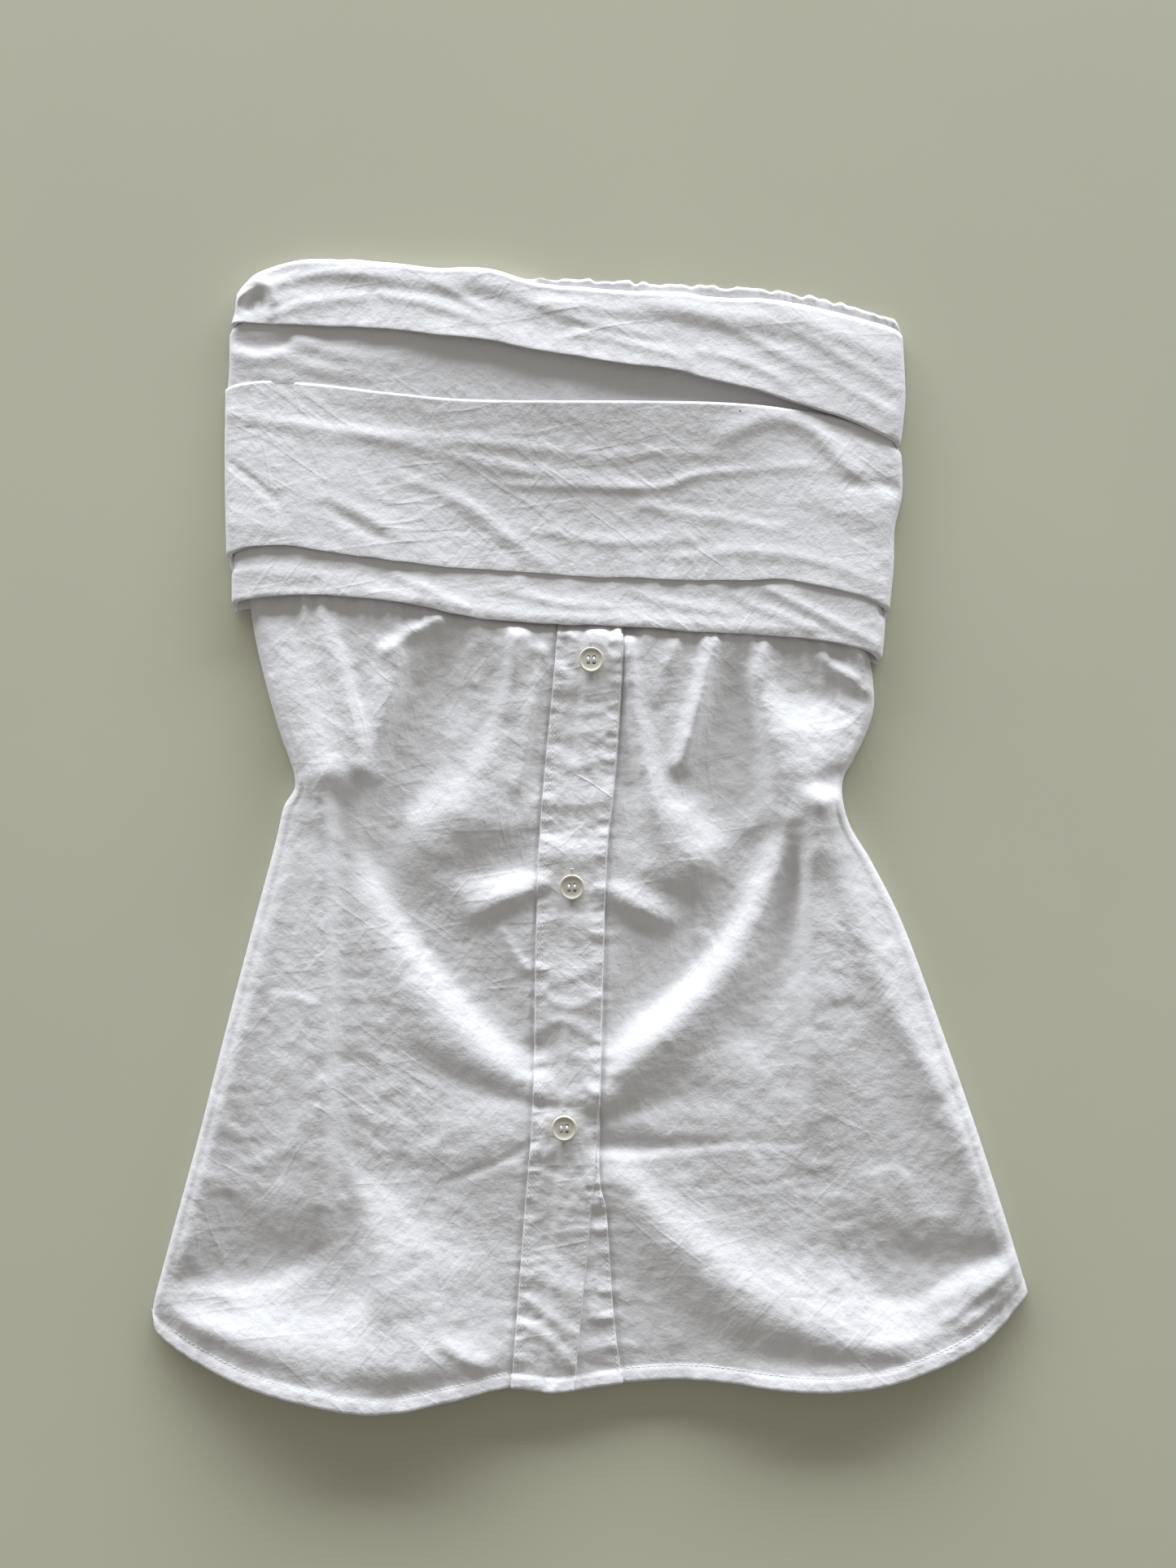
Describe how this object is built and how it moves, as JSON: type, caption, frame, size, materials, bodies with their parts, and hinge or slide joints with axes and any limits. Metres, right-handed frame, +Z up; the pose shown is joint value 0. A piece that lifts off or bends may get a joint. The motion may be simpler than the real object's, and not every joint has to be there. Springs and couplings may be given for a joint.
{
  "type": "strapless cotton top laid flat",
  "caption": "Strapless button-front top of white cotton lying flat and crumpled: folded-over gathered band, pinched waist, flared body with a curved hem.",
  "frame": {"origin": "on the floor below the middle of the garment's outline", "axes": "+Z up from the floor, +Y from the hem towards the band, +X across towards the panel that carries the placket"},
  "size_m": [0.4, 0.5228, 0.0206],
  "materials": {
    "cotton": "plain-woven white cotton, matt with a faint sheen",
    "button": "cream, satin"
  },
  "bodies": {
    "root": {"front_left": "cotton", "front_right": "cotton", "under_placket": "cotton", "placket": "cotton", "band_top_fold": "cotton", "band_inset": "cotton", "band_middle_fold": "cotton", "band_lower_fold": "cotton", "band_back": "cotton", "back": "cotton", "button_1": "button", "button_2": "button", "button_3": "button"}
  },
  "joints": []
}
